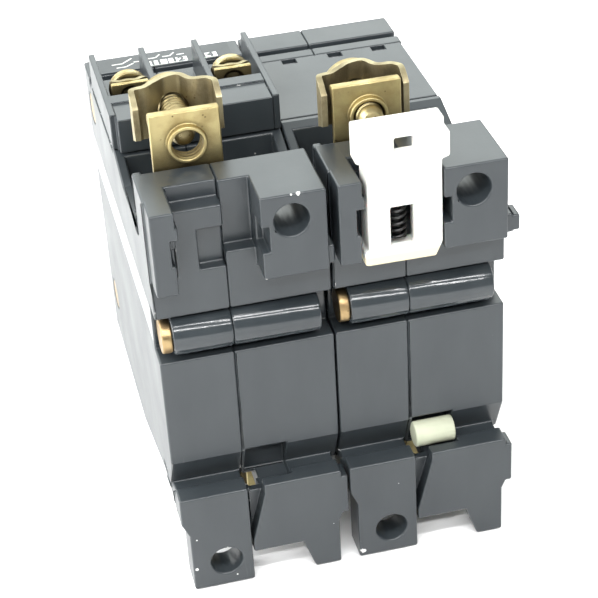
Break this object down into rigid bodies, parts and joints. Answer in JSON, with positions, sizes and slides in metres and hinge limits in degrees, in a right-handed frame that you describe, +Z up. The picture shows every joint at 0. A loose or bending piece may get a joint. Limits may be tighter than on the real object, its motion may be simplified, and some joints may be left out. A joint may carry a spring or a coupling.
{
  "type": "molded case circuit breaker",
  "caption": "Moulded-case circuit breaker with tied toggle handles, screw terminals, an auxiliary switch on top and a sliding rail latch.",
  "frame": {"origin": "centre of the rail seat: midway between the poles, on the plane of the rear face, on the centreline of the 35 mm rail", "axes": "+Z up, +Y towards the toggle handles, -Y towards the rail, +X to the right seen from behind"},
  "size_m": [0.0507, 0.0774, 0.0717],
  "materials": {
    "black_thermoset": "moulded, slightly glossy",
    "black_gloss_plastic": "glossy",
    "brass_strap": "satin",
    "brass_clamp": "satin, dull",
    "brass_screw": "satin",
    "brass_rivet": "satin",
    "white_nylon": "moulded",
    "cream_rubber": "matte",
    "black_spring_steel": "blackened",
    "label_black": "printed",
    "copper": "satin",
    "silver_contact": "satin",
    "enamelled_copper": "varnished",
    "grey_plastic": "moulded",
    "red_fibre": "pressed fibre",
    "plated_steel": "zinc plated"
  },
  "bodies": {
    "case": {"arc_chute_walls_a": "red_fibre", "arc_chute_walls_b": "red_fibre", "arc_plates_a": "plated_steel", "arc_plates_b": "plated_steel", "aux_housing": "black_thermoset", "aux_screws": "brass_screw", "aux_terminal_plates": "brass_strap", "aux_washers": "brass_clamp", "body_rivets": "brass_rivet", "contact_label": "label_black", "contact_pin_a": "plated_steel", "contact_pin_b": "plated_steel", "contact_spring_a": "plated_steel", "contact_spring_b": "plated_steel", "core_tube_a": "plated_steel", "core_tube_b": "plated_steel", "fixed_contact_a": "silver_contact", "fixed_contact_b": "silver_contact", "flexible_braid_a": "copper", "flexible_braid_b": "copper", "handle_pin_a": "plated_steel", "handle_pin_b": "plated_steel", "left_shell_a": "black_thermoset", "left_shell_b": "black_thermoset", "lower_strap_a": "brass_strap", "lower_strap_b": "brass_strap", "magnet_yoke_a": "plated_steel", "magnet_yoke_b": "plated_steel", "mechanism_frame_a": "plated_steel", "mechanism_frame_b": "plated_steel", "rail_bumper": "cream_rubber", "right_shell_a": "black_thermoset", "right_shell_b": "black_thermoset", "top_cover_b": "black_thermoset", "trip_coil_a": "enamelled_copper", "trip_coil_b": "enamelled_copper", "upper_strap_a": "brass_strap", "upper_strap_b": "brass_strap"},
    "handle": {"toggle_handle_a": "black_gloss_plastic", "toggle_handle_b": "black_gloss_plastic", "handle_tie": "black_gloss_plastic"},
    "trip_bar": {"trip_bar": "grey_plastic"},
    "latch": {"din_latch": "white_nylon", "latch_spring": "black_spring_steel"},
    "aux_plunger": {"aux_plunger": "grey_plastic"},
    "contact_a": {"moving_contact_a": "copper"},
    "link_a": {"toggle_link_a": "plated_steel"},
    "armature_a": {"armature_a": "plated_steel"},
    "upper_clamp_a": {"upper_clamp_a": "brass_clamp"},
    "upper_screw_a": {"upper_screw_a": "brass_screw"},
    "lower_clamp_a": {"lower_clamp_a": "brass_clamp"},
    "lower_screw_a": {"lower_screw_a": "brass_screw"},
    "contact_b": {"moving_contact_b": "copper"},
    "link_b": {"toggle_link_b": "plated_steel"},
    "armature_b": {"armature_b": "plated_steel"},
    "upper_clamp_b": {"upper_clamp_b": "brass_clamp"},
    "upper_screw_b": {"upper_screw_b": "brass_screw"},
    "lower_clamp_b": {"lower_clamp_b": "brass_clamp"},
    "lower_screw_b": {"lower_screw_b": "brass_screw"}
  },
  "joints": [
    {"name": "handle_hinge", "type": "hinge", "parent": "case", "child": "handle", "pos_m": [0, 0.0515, 0.001], "axis": [1, 0, 0], "range_deg": [0, 40]},
    {"name": "contact_a_hinge", "type": "hinge", "parent": "case", "child": "contact_a", "pos_m": [-0.0154, 0.04, 0.0052], "axis": [1, 0, 0], "range_deg": [-28, 0]},
    {"name": "link_a_hinge", "type": "hinge", "parent": "handle", "child": "link_a", "pos_m": [-0.0124, 0.04633, 0.00288], "axis": [1, 0, 0], "range_deg": [-40, 0]},
    {"name": "armature_a_hinge", "type": "hinge", "parent": "case", "child": "armature_a", "pos_m": [-0.0179, 0.032, -0.0154], "axis": [1, 0, 0], "range_deg": [0, 5], "stiffness_Nm_per_rad": 0.002},
    {"name": "contact_b_hinge", "type": "hinge", "parent": "case", "child": "contact_b", "pos_m": [0.0096, 0.04, 0.0052], "axis": [1, 0, 0], "range_deg": [-28, 0]},
    {"name": "link_b_hinge", "type": "hinge", "parent": "handle", "child": "link_b", "pos_m": [0.0126, 0.04633, 0.00288], "axis": [1, 0, 0], "range_deg": [-40, 0]},
    {"name": "armature_b_hinge", "type": "hinge", "parent": "case", "child": "armature_b", "pos_m": [0.0071, 0.032, -0.0154], "axis": [1, 0, 0], "range_deg": [0, 5], "stiffness_Nm_per_rad": 0.002},
    {"name": "trip_bar_hinge", "type": "hinge", "parent": "case", "child": "trip_bar", "pos_m": [0, 0.0355, -0.005], "axis": [1, 0, 0], "range_deg": [-8, 0], "stiffness_Nm_per_rad": 0.005},
    {"name": "latch_slide", "type": "slide", "parent": "case", "child": "latch", "axis": [0, 0, 1], "range_m": [0, 0.003], "stiffness_N_per_m": 600, "springref_m": -0.001, "deforming": ["latch_spring"]},
    {"name": "aux_plunger_slide", "type": "slide", "parent": "case", "child": "aux_plunger", "axis": [0, 0, 1], "range_m": [0, 0.0012]},
    {"name": "upper_clamp_a_slide", "type": "slide", "parent": "case", "child": "upper_clamp_a", "axis": [0, 1, 0], "range_m": [-0.0024, 0.0024]},
    {"name": "upper_screw_a_turn", "type": "hinge", "parent": "upper_clamp_a", "child": "upper_screw_a", "pos_m": [-0.01705, 0.017, 0.0335], "axis": [0, 1, 0], "range_deg": [-1085, 1085]},
    {"name": "upper_clamp_b_slide", "type": "slide", "parent": "case", "child": "upper_clamp_b", "axis": [0, 1, 0], "range_m": [-0.0016, 0.0024]},
    {"name": "upper_screw_b_turn", "type": "hinge", "parent": "upper_clamp_b", "child": "upper_screw_b", "pos_m": [0.00795, 0.0126, 0.0335], "axis": [0, 1, 0], "range_deg": [-1085, 725]},
    {"name": "lower_clamp_a_slide", "type": "slide", "parent": "case", "child": "lower_clamp_a", "axis": [0, 1, 0], "range_m": [-0.0024, 0.0024]},
    {"name": "lower_screw_a_turn", "type": "hinge", "parent": "lower_clamp_a", "child": "lower_screw_a", "pos_m": [-0.008, 0.015, -0.0278], "axis": [0, 1, 0], "range_deg": [-1085, 1085]},
    {"name": "lower_clamp_b_slide", "type": "slide", "parent": "case", "child": "lower_clamp_b", "axis": [0, 1, 0], "range_m": [-0.0024, 0.0024]},
    {"name": "lower_screw_b_turn", "type": "hinge", "parent": "lower_clamp_b", "child": "lower_screw_b", "pos_m": [0.017, 0.015, -0.0278], "axis": [0, 1, 0], "range_deg": [-1085, 1085]}
  ],
  "couplings": [
    {"joint": "contact_a_hinge", "follows": "handle_hinge", "ratio": -0.7},
    {"joint": "link_a_hinge", "follows": "handle_hinge", "ratio": -1},
    {"joint": "contact_b_hinge", "follows": "handle_hinge", "ratio": -0.7},
    {"joint": "link_b_hinge", "follows": "handle_hinge", "ratio": -1},
    {"joint": "aux_plunger_slide", "follows": "handle_hinge", "m_per_rad": 0.0017189},
    {"joint": "upper_screw_a_turn", "follows": "upper_clamp_a_slide", "rad_per_m": -7854},
    {"joint": "upper_screw_b_turn", "follows": "upper_clamp_b_slide", "rad_per_m": -7854},
    {"joint": "lower_screw_a_turn", "follows": "lower_clamp_a_slide", "rad_per_m": -7854},
    {"joint": "lower_screw_b_turn", "follows": "lower_clamp_b_slide", "rad_per_m": -7854}
  ]
}
